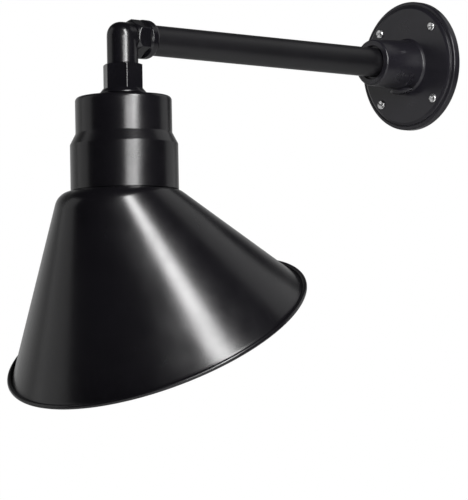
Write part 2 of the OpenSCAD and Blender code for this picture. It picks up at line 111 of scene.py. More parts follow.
# the neck
NECK_TOP = box_mm("neck_housing")[1].z
NECK_FOOT = box_mm("neck_housing")[0].z
NECK_R2 = 44.4
NECK_R1 = 39.7
NECK_WALL = 2.0
HEAD_YAW = math.radians(10)

# the shade: its axis crosses the neck's at SHADE_CROSS, and RIM_Z is along it from there
SHADE_TILT = math.radians(30)
CONE_HALF = math.radians(32.3)
SHADE_CROSS = -173.0
RIM_Z = -78.6
RIM_R = 128.3
CONE_END_R = 126.0
SHADE_T = 1.2
SHADE_TOP = NECK_FOOT - 0.35
CROWN_ROUND = 18.0
COLLAR_R = NECK_R2 - 2.02
COLLAR_HOLE_R = 31.2
COLLAR_TOP = -109.5
COLLAR_FOOT = -111.0

# from millimetres to the row frame
ROW = Matrix.Scale(MM, 4)
ALONG_Y = ROW @ Matrix.Rotation(-PI / 2, 4, "X")
TOWARDS_ROOM = ROW @ Matrix.Rotation(PI / 2, 4, "X")
AT_NECK = ROW @ Matrix.Translation((0, NECK_Y, 0))
AT_HEAD = AT_NECK @ Matrix.Rotation(HEAD_YAW, 4, "Z")
NECK_ALONG_Y = AT_NECK @ Matrix.Rotation(-PI / 2, 4, "X")


# ---------------------------------------------------------------- mesh helpers

def rounded(points, steps=6):
    """A polyline of (x, y) or (x, y, radius) points with each radius made a round corner."""
    out = []
    for i, point in enumerate(points):
        here = Vector(point[:2])
        radius = point[2] if len(point) > 2 else 0
        if not radius or i in (0, len(points) - 1):
            out.append(here)
            continue
        back = (Vector(points[i - 1][:2]) - here).normalized()
        on = (Vector(points[i + 1][:2]) - here).normalized()
        half = back.angle(on) / 2
        reach = radius / math.tan(half)
        centre = here + (back + on).normalized() * (radius / math.sin(half))
        first = here + back * reach - centre
        turn = first.angle_signed(here + on * reach - centre)
        for k in range(steps + 1):
            out.append(centre + Matrix.Rotation(-turn * k / steps, 2) @ first)
    return [(p.x, p.y) for p in out]


def arc(cx, cy, radius, start, stop, steps=8):
    """Points of an arc, with its angles in degrees."""
    angles = [math.radians(start + (stop - start) * k / steps) for k in range(steps + 1)]
    return [(cx + radius * math.cos(a), cy + radius * math.sin(a)) for a in angles]


def new_object(name, mesh):
    """Makes an object and puts it in the scene."""
    made = bpy.data.objects.new(name, mesh)
    bpy.context.scene.collection.objects.link(made)
    return made


def from_bmesh(name, shape, place):
    """Welds a bmesh, turns its faces outwards, places it and makes an object of it."""
    bmesh.ops.remove_doubles(shape, verts=shape.verts, dist=1e-4)
    bmesh.ops.recalc_face_normals(shape, faces=shape.faces)
    mesh = bpy.data.meshes.new(name)
    shape.to_mesh(mesh)
    shape.free()
    mesh.transform(place)
    return new_object(name, mesh)


def lathe(name, profile, place, steps=128, closed=True):
    """A solid of revolution about its own z axis.

    A closed profile is a loop, and an open one starts and ends on the axis.
    """
    shape = bmesh.new()
    rings = []
    for k in range(steps):
        a = 2 * PI * k / steps
        rings.append([shape.verts.new((r * math.cos(a), r * math.sin(a), z)) for r, z in profile])
    count = len(profile)
    last = count if closed else count - 1
    for k in range(steps):
        one, two = rings[k], rings[(k + 1) % steps]
        for i in range(last):
            j = (i + 1) % count
            shape.faces.new((one[i], two[i], two[j], one[j]))
    return from_bmesh(name, shape, place)


def prism(name, outline, height, place):
    """An extruded outline, from z = 0 up."""
    shape = bmesh.new()
    base = shape.faces.new([shape.verts.new((x, y, 0)) for x, y in outline])
    made = bmesh.ops.extrude_face_region(shape, geom=[base])["geom"]
    top = [part for part in made if isinstance(part, bmesh.types.BMVert)]
    bmesh.ops.translate(shape, vec=(0, 0, height), verts=top)
    return from_bmesh(name, shape, place)


def skin(shape, rings):
    """Adds quads between each ring of vertices and the next."""
    count = len(rings[0])
    for one, two in zip(rings, rings[1:]):
        for k in range(count):
            shape.faces.new((one[k], one[(k + 1) % count], two[(k + 1) % count], two[k]))


def pole(shape, ring, point):
    """Closes a ring of vertices with triangles to one point."""
    tip = shape.verts.new(point)
    for k in range(len(ring)):
        shape.faces.new((ring[k], ring[(k + 1) % len(ring)], tip))


def soft_hexagon(flats, rounding, steps=6):
    """A regular hexagon by its width over flats, with a corner on the second axis and rounded corners."""
    inset = (flats / 2 - rounding) / math.cos(PI / 6)
    points = []
    for k in range(6):
        middle_angle = PI / 2 + k * PI / 3
        for i in range(steps + 1):
            a = middle_angle - PI / 6 + PI / 3 * i / steps
            points.append((inset * math.cos(middle_angle) + rounding * math.cos(a),
                           inset * math.sin(middle_angle) + rounding * math.sin(a)))
    return points


def bake(piece):
    """Applies a piece's modifiers to its mesh."""
    bpy.context.view_layer.update()
    seen = piece.evaluated_get(bpy.context.evaluated_depsgraph_get())
    mesh = bpy.data.meshes.new_from_object(seen)
    piece.modifiers.clear()
    piece.data = mesh
    return piece


def boolean(piece, tool, kind="DIFFERENCE"):
    """Cuts the tool from the piece, or joins it to it, and removes the tool."""
    step = piece.modifiers.new("boolean", "BOOLEAN")
    step.operation = kind
    step.solver = "EXACT"
    step.object = tool
    bake(piece)
    bpy.data.objects.remove(tool)
    return piece


def join(piece, *others):
    """Makes one mesh of several pieces, each keeping its materials."""
    shape = bmesh.new()
    shape.from_mesh(piece.data)
    for other in others:
        slots = {}
        for i, material in enumerate(other.data.materials):
            if material.name not in piece.data.materials:
                piece.data.materials.append(material)
            slots[i] = piece.data.materials.find(material.name)
        start = len(shape.faces)
        shape.from_mesh(other.data)
        shape.faces.ensure_lookup_table()
        for face in shape.faces[start:]:
            face.material_index = slots.get(face.material_index, 0)
        bpy.data.objects.remove(other)
    shape.to_mesh(piece.data)
    shape.free()
    return piece


def smooth(piece, angle=35):
    """Smooth shading with creases past the angle, and normals weighted by face area so that flats stay flat."""
    for face in piece.data.polygons:
        face.use_smooth = True
    piece.data.set_sharp_from_angle(angle=math.radians(angle))
    weigh = piece.modifiers.new("weighted normals", "WEIGHTED_NORMAL")
    weigh.keep_sharp = True
    weigh.weight = 60
    return piece


def piece_of(piece, body, slot, material, *replaced, angle=35):
    """Finishes a piece: material, shading, the body it rides on and the CAD nodes it stands for. slot is not
    used.
    """
    if material is not None:
        piece.data.materials.clear()
        piece.data.materials.append(material)
    smooth(piece, angle)
    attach(piece, body)
    if replaced:
        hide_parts(*replaced)
    return piece


# ---------------------------------------------------------------- materials

class Nodes:
    """Short forms for building one material's node tree."""

    def __init__(self, name):
        self.material = bpy.data.materials.new(name)
        self.material.use_nodes = True
        self.tree = self.material.node_tree
        self.shader = self.tree.nodes["Principled BSDF"]
        self.place = self.add("ShaderNodeTexCoord").outputs["Object"]

    def add(self, kind, **values):
        """A new node with its settings."""
        made = self.tree.nodes.new(kind)
        for key, value in values.items():
            setattr(made, key, value)
        return made

    def link(self, a, b):
        self.tree.links.new(a, b)

    def noise(self, scale, detail=3.0, roughness=0.55, stretch=None):
        """A noise over the object, by its scale per metre."""
        made = self.add("ShaderNodeTexNoise")
        made.inputs["Scale"].default_value = scale
        made.inputs["Detail"].default_value = detail
        made.inputs["Roughness"].default_value = roughness
        source = self.place
        if stretch:
            mapping = self.add("ShaderNodeMapping")
            mapping.inputs["Scale"].default_value = stretch
            self.link(self.place, mapping.inputs["Vector"])
            source = mapping.outputs["Vector"]
        self.link(source, made.inputs["Vector"])
        return made.outputs["Fac"]

    def ramp(self, factor, *stops):
        """A colour over a factor, by stops of position and colour."""
        made = self.add("ShaderNodeValToRGB")
        elements = made.color_ramp.elements
        while len(elements) < len(stops):
            elements.new(0.5)
        for element, (position, colour) in zip(elements, stops):
            element.position = position
            element.color = (*colour, 1)
        self.link(factor, made.inputs["Fac"])
        return made.outputs["Color"]

    def spread(self, factor, low, high):
        """Maps the middle of a noise's range to low and high."""
        made = self.add("ShaderNodeMapRange")
        made.inputs["From Min"].default_value = 0.3
        made.inputs["From Max"].default_value = 0.7
        made.inputs["To Min"].default_value = low
        made.inputs["To Max"].default_value = high
        self.link(factor, made.inputs["Value"])
        return made.outputs["Result"]

    def bump(self, height, strength, distance, under=None):
        """A bumped normal, on top of another where one is given."""
        made = self.add("ShaderNodeBump")
        made.inputs["Strength"].default_value = strength
        made.inputs["Distance"].default_value = distance
        self.link(height, made.inputs["Height"])
        if under:
            self.link(under, made.inputs["Normal"])
        return made.outputs["Normal"]

    def set(self, **values):
        """Sets inputs of the shader, with _ for a space in their names."""
        for key, value in values.items():
            self.shader.inputs[key.replace("_", " ")].default_value = value
        return self

    def wire(self, **links):
        """Links sources to inputs of the shader, and returns the material."""
        for key, source in links.items():
            self.link(source, self.shader.inputs[key.replace("_", " ")])
        return self.material


def toned(tone, factor):
    """A colour made lighter or darker."""
    return [min(1, c * factor) for c in tone]


def powder_coat(name, tone, rough, grain=900, grain_depth=0.000012, peel=90, peel_depth=0.00003):
    """Black powder coat: a near-black tone with faint drifts, a fine grain and a slight orange peel."""
    n = Nodes(name)
    drift = n.noise(14, 4)
    cloud = n.ramp(drift, (0.30, toned(tone, 0.82)), (0.70, toned(tone, 1.22)))
    gloss = n.spread(n.noise(38, 5, 0.6), rough - 0.025, rough + 0.035)
    fine = n.bump(n.noise(grain, 2), 0.35, grain_depth)
    coat = n.bump(n.noise(peel, 2, 0.4), 0.5, peel_depth, fine)
    n.set(Metallic=0.0, IOR=1.5)
    return n.wire(Base_Color=cloud, Roughness=gloss, Normal=coat)


def plated(name, tone, rough, scratch=0.00001):
    """Plated metal with fine rubbing marks."""
    n = Nodes(name)
    marks = n.noise(260, 6, 0.7, (1, 1, 7))
    shade = n.ramp(n.noise(60, 3), (0.3, toned(tone, 0.88)), (0.7, tone))
    n.set(Metallic=1.0)
    return n.wire(Base_Color=shade, Roughness=n.spread(marks, rough * 0.7, rough * 1.35),
                  Normal=n.bump(marks, 0.4, scratch))


def moulded(name, tone, rough, grain=400, depth=0.00002):
    """Moulded plastic, rubber or insulation: a matt grain with slight tone changes."""
    n = Nodes(name)
    shade = n.ramp(n.noise(40, 4), (0.3, toned(tone, 0.85)), (0.7, toned(tone, 1.08)))
    grains = n.noise(grain, 3)
    n.set(Metallic=0.0)
    return n.wire(Base_Color=shade, Roughness=n.spread(grains, rough - 0.05, rough + 0.08),
                  Normal=n.bump(grains, 0.5, depth))


def woven_sleeve(name, tone):
    """Woven glass sleeve: two crossing wave bands."""
    n = Nodes(name)
    waves = []
    for turn in (0.6, -0.6):
        wave = n.add("ShaderNodeTexWave", wave_type="BANDS", bands_direction="DIAGONAL")
        wave.inputs["Scale"].default_value = 260
        mapping = n.add("ShaderNodeMapping")
        mapping.inputs["Rotation"].default_value = (turn, turn, turn)
        n.link(n.place, mapping.inputs["Vector"])
        n.link(mapping.outputs["Vector"], wave.inputs["Vector"])
        waves.append(wave.outputs["Fac"])
    both = n.add("ShaderNodeMath", operation="MULTIPLY")
    n.link(waves[0], both.inputs[0])
    n.link(waves[1], both.inputs[1])
    shade = n.ramp(both.outputs["Value"], (0.0, toned(tone, 0.55)), (0.8, tone))
    n.set(Metallic=0.0, Roughness=0.85)
    return n.wire(Base_Color=shade, Normal=n.bump(both.outputs["Value"], 0.7, 0.0001))


def enamel(name, tone, rough):
    """White enamel inside the shade, with a soft peel and faint dust."""
    n = Nodes(name)
    shade = n.ramp(n.noise(22, 5), (0.25, toned(tone, 0.93)), (0.65, tone))
    peel = n.bump(n.noise(120, 2, 0.4), 0.4, 0.00003)
    n.set(Metallic=0.0, IOR=1.5)
    return n.wire(Base_Color=shade, Roughness=n.spread(n.noise(55, 4), rough - 0.04, rough + 0.06),
                  Normal=peel)


def frosted(name):
    """Frosted bulb glass: milky, with a faint grain."""
    n = Nodes(name)
    grains = n.noise(500, 3)
    shade = n.ramp(n.noise(30, 2), (0.3, (0.86, 0.85, 0.82)), (0.7, (0.93, 0.92, 0.89)))
    n.set(Metallic=0.0, IOR=1.5, Transmission_Weight=0.25, Subsurface_Weight=0.0)
    return n.wire(Base_Color=shade, Roughness=n.spread(grains, 0.30, 0.42),
                  Normal=n.bump(grains, 0.3, 0.00001))


CAST_GRAIN = {"grain": 700, "grain_depth": 0.00002}
COVER_CAST = powder_coat("cover powder coat", (0.0105, 0.0098, 0.0130), 0.29, **CAST_GRAIN)
CAST = powder_coat("cast powder coat", (0.0045, 0.0042, 0.0055), 0.22, **CAST_GRAIN)
SPUN = powder_coat("spun powder coat", (0.0042, 0.0039, 0.0050), 0.24)
TUBE = powder_coat("tube powder coat", (0.0048, 0.0045, 0.0056), 0.38)
NICKEL = plated("bright nickel", (0.93, 0.93, 0.93), 0.26)
ZINC = plated("zinc plate", (0.60, 0.61, 0.62), 0.34)
BRASS = plated("plain brass", (0.72, 0.52, 0.24), 0.28)
CAP_METAL = plated("lamp cap aluminium", (0.74, 0.74, 0.75), 0.30)
GREEN_STEEL = moulded("green dyed steel", (0.02, 0.20, 0.06), 0.35)
RUBBER = moulded("sealing rubber", (0.012, 0.012, 0.012), 0.72)
WIRE_BLACK = moulded("black insulation", (0.012, 0.012, 0.012), 0.45)
WIRE_WHITE = moulded("white insulation", (0.78, 0.77, 0.72), 0.45)
WIRE_GREEN = moulded("green insulation", (0.02, 0.26, 0.07), 0.45)
ORANGE = moulded("orange nylon", (0.80, 0.22, 0.03), 0.42)
NYLON = moulded("white nylon", (0.76, 0.75, 0.72), 0.48)
SLEEVE = woven_sleeve("glass sleeve", (0.42, 0.40, 0.36))
PORCELAIN = enamel("glazed porcelain", (0.80, 0.78, 0.72), 0.16)
ENAMEL = enamel("white enamel", (0.80, 0.79, 0.76), 0.30)
FROST = frosted("frosted glass")
CAP_GLASS = moulded("black cap glass", (0.01, 0.01, 0.012), 0.12)


# ---------------------------------------------------------------- wall side

def cover_profile():
    """Cross-section of the cover and boss, as a loop of radius and height above the cover's back."""
    depth = COVER_BACK - COVER_FRONT
    tip = depth + BOSS_LEN
    mouth = ARM_R + 1.8
    skirt = COVER_R - 4
    outer = rounded([
        (COVER_R - 3.6, 0), (COVER_R - 0.1, 0, 0.4), (COVER_R - 0.1, depth - 2.6, 1.4),
        (COVER_R - 2.9, depth - 2.0, 0.5), (COVER_R - 3.6, depth - 2.9, 0.3),
        (COVER_R - 4.4, depth - 1.2, 0.6), (COVER_R - 6.6, depth, 2.2), (BOSS_BASE_R + 1.9, depth, 1.5),
        (BOSS_BASE_R, depth + 1.7, 1.4), (BOSS_TIP_R, tip, 2.0), (mouth, tip, 0.6), (mouth, tip - 3, 0.3),
        (ARM_BORE_R, tip - 3),
    ])
    inner = rounded([(ARM_BORE_R, depth - 3), (skirt, depth - 3, 1.2), (skirt, 0)])
    return outer + inner


def wall_cover():
    """The cast cover with its boss, the posts of its screws and of the ground screw, and the set screw's lug."""
    at_back = TOWARDS_ROOM @ Matrix.Translation((0, 0, -COVER_BACK))
    cover = lathe("wall_cover_cast", cover_profile(), at_back, 256)
    under_face = ALONG_Y @ Matrix.Translation((0, 0, COVER_FRONT + POST_START))
    depth = COVER_BACK - COVER_FRONT - POST_START
    posts = [screw_post(x, z, 5.4, 2.5, depth, under_face)
             for x in (-SCREW_POS, SCREW_POS) for z in (-SCREW_POS, SCREW_POS)]
    posts.append(screw_post(*GROUND_POST, 4.4, 1.7, depth - 1.4, under_face))
    join(cover, *posts, set_screw_lug())
    return piece_of(cover, "wall", "cast_black", COVER_CAST, "wall_cover")


def screw_post(x, z, outer, bore, height, under_face):
    """A post in the cover's hollow back that a screw goes through."""
    profile = rounded([(bore, 0), (outer + 0.8, 0), (outer, 1.5, 0.6), (outer, height, 0.3), (bore, height)])
    return lathe("post", profile, under_face @ Matrix.Translation((x, -z, 0)), 40)


def set_screw_lug():
    """The lens-shaped lug under the boss, pointed at both ends, with a hole for its screw."""
    half_width, half_depth, half_height = LUG_HALF
    columns, rows = 40, 28
    foot = middle("arm_set_screw")
    shape = bmesh.new()
    rings = []
    for i in range(1, columns):
        t = -1 + 2 * i / columns
        swell = (1 - t * t) ** 0.9
        ring = []
        for j in range(rows):
            a = 2 * PI * j / rows
            ring.append(shape.verts.new((half_width * t, foot.y + half_depth * swell * math.cos(a),
                                         LUG_Z + half_height * swell * math.sin(a))))
        rings.append(ring)
    skin(shape, rings)
    pole(shape, rings[0], (-half_width, foot.y, LUG_Z))
    pole(shape, rings[-1], (half_width, foot.y, LUG_Z))
    lug = from_bmesh("lug", shape, ROW)
    at_screw = ROW @ Matrix.Translation((0, foot.y, 0))
    hole = lathe("lug_hole", [(0, -32), (2.5, -32), (2.5, -15), (0, -15)], at_screw, 40, closed=False)
    return boolean(lug, hole)


def box_screw(x, z, turn):
    """A round-head screw with a slot and a cross cut in its head, and a threaded free end."""
    length = box_mm("cover_screws")[1].y - COVER_FRONT
    head = arc(0, -10, 12, 90, 74.5, 6) + [(3.55, 1.38), (3.82, 1.05)]
    thread = []
    station = COVER_FRONT - 0.2
    while station > 0.7 - length:
        thread += [(2.06, station), (1.72, station - 0.4)]
        station -= THREAD_PITCH
    profile = head + [(3.95, 0.55), (3.8, 0.1), (2.5, 0), (1.85, -0.2), (1.85, COVER_FRONT)] + thread \
        + [(1.4, 0.4 - length), (0.9, -length), (0, -length)]
    place = TOWARDS_ROOM @ Matrix.Translation((x, z, -COVER_FRONT))
    screw = lathe("screw", profile, place, 48, closed=False)
    for angle, size in ((turn, SLOT_SIZE), (turn + PI / 2, CROSS_SIZE)):
        tool_mesh = bmesh.new()
        bmesh.ops.create_cube(tool_mesh, size=1)
        bmesh.ops.scale(tool_mesh, vec=size, verts=tool_mesh.verts)
        bmesh.ops.translate(tool_mesh, vec=(0, 0, SLOT_MID), verts=tool_mesh.verts)
        tool = from_bmesh("tool", tool_mesh, place @ Matrix.Rotation(angle, 4, "Z"))
        boolean(screw, tool)
    return screw


def cover_screws():
    """The four box screws, each with its slot turned its own way."""
    places = [(x, z) for z in (SCREW_POS, -SCREW_POS) for x in (-SCREW_POS, SCREW_POS)]
    screws = [box_screw(x, z, turn) for (x, z), turn in zip(places, SCREW_TURNS)]
    join(*screws)
    return piece_of(screws[0], "wall", "chrome_screw", NICKEL, "cover_screws", angle=28)


def cover_gasket():
    """The foam ring between the cover and the wall."""
    edge = COVER_R - 0.8
    profile = rounded([
        (GASKET_HOLE_R, 0), (edge, 0, 0.5), (edge, -COVER_BACK, 0.5), (GASKET_HOLE_R, -COVER_BACK, 0.3),
        (GASKET_HOLE_R, 0),
    ])
    gasket = lathe("cover_gasket_foam", profile[:-1], TOWARDS_ROOM, 160)
    return piece_of(gasket, "wall", "rubber_black", RUBBER, "cover_gasket")


def twist_connectors():
    """Twist-on connectors, each with a bore, a plain skirt and a ribbed taper."""
    low, high = box_mm("wire_connectors")
    length = high.y - low.y
    stations = rounded([
        (2.8, 11.9), (2.8, 0.1), (3.4, 0, 0.4), (5.6, 0, 0.5), (5.6, 5.4, 0.4), (5.1, 6.2, 0.4),
        (3.4, length - 0.2, 1.2), (0.01, length - 0.2),
    ])
    count, ribs, rib_depth = 96, 16, 0.28
    made = []
    for x, z in CONNECTORS:
        shape = bmesh.new()
        rings = []
        for r, h in stations:
            cut = 0.0 if h < 6.2 or r < 3 else rib_depth
            ring = []
            for k in range(count):
                a = 2 * PI * k / count
                ribbed = r - cut * (0.5 + 0.5 * math.cos(ribs * a))
                ring.append(shape.verts.new((ribbed * math.cos(a), ribbed * math.sin(a), h)))
            rings.append(ring)
        skin(shape, rings)
        shape.faces.new(list(reversed(rings[0])))
        made.append(from_bmesh("connector", shape, ALONG_Y @ Matrix.Translation((x, -z, low.y))))
    join(*made)
    return piece_of(made[0], "wall", "connector_plastic", ORANGE, "wire_connectors", angle=50)


# ---------------------------------------------------------------- arm

def arm_tube():
    start, stop = ARM_ENDS
    bore = ARM_R - TUBE_WALL
    profile = rounded([(bore, start), (ARM_R, start, 0.4), (ARM_R, stop, 0.4), (bore, stop, 0.3), (bore, start)])
    tube = lathe("arm_tube_drawn", profile[:-1], ALONG_Y, 128)
    return piece_of(tube, "arm", "tube_black", TUBE, "arm_tube")


# ---------------------------------------------------------------- elbow

def squared_ball(name, radius, power):
    """A ball whose outline in the elbow's plane is squarer than a circle.

    It meets both barrels in their own section.
    """
    shape = bmesh.new()
    steps, levels = 96, 48
    rings = []
    for i in range(1, levels):
        a = -PI / 2 + PI * i / levels
        ring = []
        for k in range(steps):
            u = 2 * PI * k / steps
            stretch = (abs(math.cos(u)) ** power + abs(math.sin(u)) ** power) ** (-1 / power)
            reach = radius * math.cos(a) * stretch
            ring.append(shape.verts.new((radius * math.sin(a), reach * math.cos(u), reach * math.sin(u))))
        rings.append(ring)
    skin(shape, rings)
    pole(shape, rings[0], (-radius, 0, 0))
    pole(shape, rings[-1], (radius, 0, 0))
    return from_bmesh(name, shape, AT_NECK)


def elbow_round():
    """The elbow's round body: two barrels that meet in a rounded corner."""
    foot, reach = BARREL_FOOT, BARREL_REACH
    down = lathe("down", [(0, foot), (BARREL_R - 0.3, foot), (BARREL_R, foot + 0.8), (BARREL_R, 0), (0, 0)],
                 AT_NECK, 96, closed=False)
    across = lathe("across", [(0, reach), (BARREL_R, reach), (BARREL_R, 0), (0, 0)],
                   NECK_ALONG_Y, 96, closed=False)
    corner = squared_ball("corner", BARREL_R + 0.02, 2.5)
    boolean(down, across, "UNION")
    return boolean(down, corner, "UNION")


def cast_skin(piece, voxel, rounds):
    """Rounds every edge of a closed piece a little, as a painted casting's are."""
    remesh = piece.modifiers.new("remesh", "REMESH")
    remesh.mode = "VOXEL"
    remesh.voxel_size = voxel * MM
    bake(piece)
    soften = piece.modifiers.new("soften", "SMOOTH")
    soften.factor = 0.5
    soften.iterations = rounds
    return bake(piece)


def arm_hexagon():
    """The cast hexagon round the arm's socket, with its corners turned down towards the elbow."""
    corner = ARM_HEX / 2 / math.cos(PI / 6)
    hexagon = prism("hexagon", soft_hexagon(ARM_HEX, 1.0), HEX_END - HEX_START - 0.02,
                    NECK_ALONG_Y @ Matrix.Translation((0, 0, HEX_START)))
    cone = lathe("cone", rounded([
        (0, HEX_START - 0.6), (BARREL_R - 0.3, HEX_START - 0.6), (BARREL_R + 0.6, HEX_START, 0.4),
        (corner + 0.3, HEX_START + 4.4), (corner + 0.3, HEX_END + 1), (0, HEX_END + 1),
    ]), NECK_ALONG_Y, 128, closed=False)
    boolean(hexagon, cone, "INTERSECT")
    socket_r = ARM_R + 0.05
    socket = lathe("socket", [
        (0, HEX_START + 2.8), (socket_r, HEX_START + 2.8), (socket_r, HEX_END + 2), (0, HEX_END + 2),
    ], NECK_ALONG_Y, 96, closed=False)
    return cast_skin(boolean(hexagon, socket), 0.25, 5)


def elbow():
    body = cast_skin(elbow_round(), 0.4, 8)
    join(body, arm_hexagon())
    return piece_of(body, "elbow", "cast_black", CAST, "elbow_body", angle=40)


def gland_cap():
    """The round cap behind the hexagon, with a groove for its seal."""
    groove_r = ARM_R + 1.9
    profile = rounded([
        (ARM_BORE_R, GLAND_START), (GLAND_R - 1.3, GLAND_START, 0.2), (GLAND_R, 20.8, 0.8),
        (GLAND_R, GLAND_END - 2.6, 3.6), (13.5, GLAND_END, 0.7), (ARM_BORE_R, GLAND_END, 0.2),
        (ARM_BORE_R, 25.2), (groove_r, 25.1), (groove_r, 21.9), (ARM_BORE_R, 21.9),
    ], 8)
    cap = lathe("gland_cap_cast", profile, NECK_ALONG_Y, 160)
    return piece_of(cap, "elbow", "cast_black", CAST, "gland_cap")


def swivel_nut():
    """The hexagonal nut under the elbow, with its upper corners turned down and its thread's bore."""
    low, high = box_mm("swivel_nut")
    corner = SWIVEL_HEX / 2 / math.cos(PI / 6)
    nut = prism("swivel_nut_hex", soft_hexagon(SWIVEL_HEX, 1.4), high.z - low.z,
                AT_NECK @ Matrix.Translation((0, 0, low.z)))
    cone = lathe("cone", [
        (0, low.z - 1), (corner + 1, low.z - 1), (corner + 1, high.z - 1.1), (corner - 2.6, high.z + 0.4),
        (0, high.z + 0.4),
    ], AT_NECK, 128, closed=False)
    boolean(nut, cone, "INTERSECT")
    bore = lathe("bore", [
        (0, low.z - 1), (NIPPLE_HOLE_R, low.z - 1), (NIPPLE_HOLE_R, -37), (12.35, -37), (12.35, high.z + 1),
        (0, high.z + 1),
    ], AT_NECK, 96, closed=False)
    boolean(nut, bore)
    return piece_of(nut, "elbow", "cast_black", CAST, "swivel_nut", angle=30)


def swivel_flange():
    """The conical flange between the nut and the neck."""
    low, high = box_mm("swivel_flange")
    profile = rounded([
        (NIPPLE_HOLE_R, low.z), (19, low.z, 0.4), (19, low.z + 1.1, 0.4), (16.6, high.z, 0.5),
        (NIPPLE_HOLE_R, high.z, 0.2), (NIPPLE_HOLE_R, low.z),
    ])
    flange = lathe("swivel_flange_cone", profile[:-1], AT_NECK, 128)
    return piece_of(flange, "elbow", "cast_black", CAST, "swivel_flange")


# ---------------------------------------------------------------- head

def neck_housing():
    """Two tiers with a taper between them, a domed top and a hollow inside with its posts and ribs."""
    top = NECK_TOP
    outer = rounded([
        (NIPPLE_HOLE_R, top), (19, top, 1), (NECK_R1, top - 1.1, 3.5), (NECK_R1, -79.2, 0.5),
        (NECK_R2, -88.4, 0.9), (NECK_R2, NECK_FOOT, 0.35), (NECK_R2 - NECK_WALL, NECK_FOOT),
    ], 8)
    inner = rounded([
        (NECK_R2 - NECK_WALL, NECK_FOOT), (NECK_R2 - NECK_WALL, -88.9, 1), (NECK_R1 - NECK_WALL, -79.7, 1),
        (NECK_R1 - NECK_WALL, top - 3.1, 1.5), (19, top - NECK_WALL, 1), (NIPPLE_HOLE_R, top - NECK_WALL),
    ])
    neck = lathe("neck_housing_spun", outer + inner[1:], AT_HEAD, 256)
    post = rounded([(1.6, -66), (4, -66, 0.4), (4, top - NECK_WALL), (1.6, top - NECK_WALL)])
    posts = [lathe("post", post, AT_HEAD @ Matrix.Translation((x, 0, 0)), 32) for x in (-25, 25)]
    rib = rounded([(1.8, -109.4), (4, -109.4, 0.4), (4, top - 5), (1.8, top - 5)])
    ribs = [lathe("rib", rib, AT_HEAD @ Matrix.Rotation(math.radians(turn), 4, "Z")
                  @ Matrix.Translation((34.5, 0, 0)), 32) for turn in (30, 150, 270)]
    join(neck, *posts, *ribs)
    return piece_of(neck, "head", "spun_black", SPUN, "neck_housing")


def shade_section(angle):
    """Section of the shade along one generator of its cone, in the head's frame.

    The generator climbs from the rolled rim to the level crown plane, turns into it with a round corner and runs
    in to the collar. Returns a closed loop of points, and how many of them are outside, on the lip and inside.
    """
    tilt = Matrix.Translation((0, 0, SHADE_CROSS)) @ Matrix.Rotation(SHADE_TILT, 4, "X")
    slope = math.tan(CONE_HALF)
    across = Vector((math.cos(angle), math.sin(angle), 0))

    def on_cone(z, inset):
        radius = CONE_END_R - (z - RIM_Z) * slope - inset / math.cos(CONE_HALF)
        return tilt @ (across * radius + Vector((0, 0, z)))

    def crown_line(inset):
        """Points from low on the cone, round the crown's edge, to the collar."""
        plane = SHADE_TOP - inset
        low = on_cone(RIM_Z + 12, inset)
        high = on_cone(RIM_Z + 100, inset)
        up = (high - low).normalized()
        corner = low + up * ((plane - low.z) / up.z)
        flat = Vector((corner.x, corner.y, 0))
        distance = flat.length
        inward = -flat.normalized()
        radius_in = COLLAR_R - (0 if inset == 0 else 1.4)
        room = distance - radius_in - 0.15
        tangent = max(0.35, min(CROWN_ROUND, room * 0.94))
        half = (-up).angle(inward) / 2
        radius = tangent * math.tan(half)
        centre = corner + ((-up) + inward).normalized() * (radius / math.sin(half))
        first = corner - up * tangent - centre
        last = corner + inward * tangent - centre
        turn = first.angle(last)
        bend = []
        for k in range(11):
            s = k / 10
            bend.append(centre + (first * math.sin((1 - s) * turn) + last * math.sin(s * turn)) / math.sin(turn))
        end = Vector((inward.x * -radius_in, inward.y * -radius_in, plane))
        start = corner - up * tangent
        foot = on_cone(RIM_Z + 3.2, inset)
        climb = [foot.lerp(start, k / 14) for k in range(15)]
        return climb[:-1] + bend, end

    outer, outer_end = crown_line(0)
    inner, inner_end = crown_line(SHADE_T)
    bead_r = 2.0
    rim = rounded([
        (CONE_END_R - 3.2 * slope, 3.2), (CONE_END_R + 0.25, 0.95, 1.6), (RIM_R - 1.2, 1.0),
    ], 5)
    bead = arc(RIM_R, 0.6, bead_r, 160, -170, 16)
    under = [(RIM_R - 2.6, 0.0), (CONE_END_R - 0.6, -0.05), (CONE_END_R - 1.6, 0.35)]
    lip = [tilt @ (across * r + Vector((0, 0, RIM_Z + z))) for r, z in (rim[1:] + bead + under)]
    flange = outer_end.xy.normalized() * COLLAR_HOLE_R
    turned_in = [Vector((at.x, at.y, z)) for at, z in (
        (outer_end, COLLAR_TOP), (flange, COLLAR_TOP), (flange, COLLAR_FOOT), (inner_end, COLLAR_FOOT))]
    collar = [outer_end, *turned_in, inner_end]
    return list(reversed(outer)) + lip + inner + list(reversed(collar)), len(outer), len(lip), len(inner)


def shade():
    """The spun shade: black outside and over the rim, white enamel inside."""
    steps = 320
    shape = bmesh.new()
    loops = []
    for k in range(steps):
        points, outside, lip, inside = shade_section(2 * PI * k / steps)
        loops.append([shape.verts.new(p) for p in points])
    count = len(loops[0])
    for k in range(steps):
        one, two = loops[k], loops[(k + 1) % steps]
        for i in range(count):
            j = (i + 1) % count
            face = shape.faces.new((one[i], two[i], two[j], one[j]))
            white = outside + lip <= i + 1 < outside + lip + inside
            face.material_index = 1 if white else 0
    bmesh.ops.recalc_face_normals(shape, faces=shape.faces)
    mesh = bpy.data.meshes.new("shade_spun")
    shape.to_mesh(mesh)
    shape.free()
    mesh.transform(AT_HEAD)
    made = new_object("shade_spun", mesh)
    made.data.materials.append(SPUN)
    made.data.materials.append(ENAMEL)
    return piece_of(made, "head", "spun_black", None, "shade", angle=50)


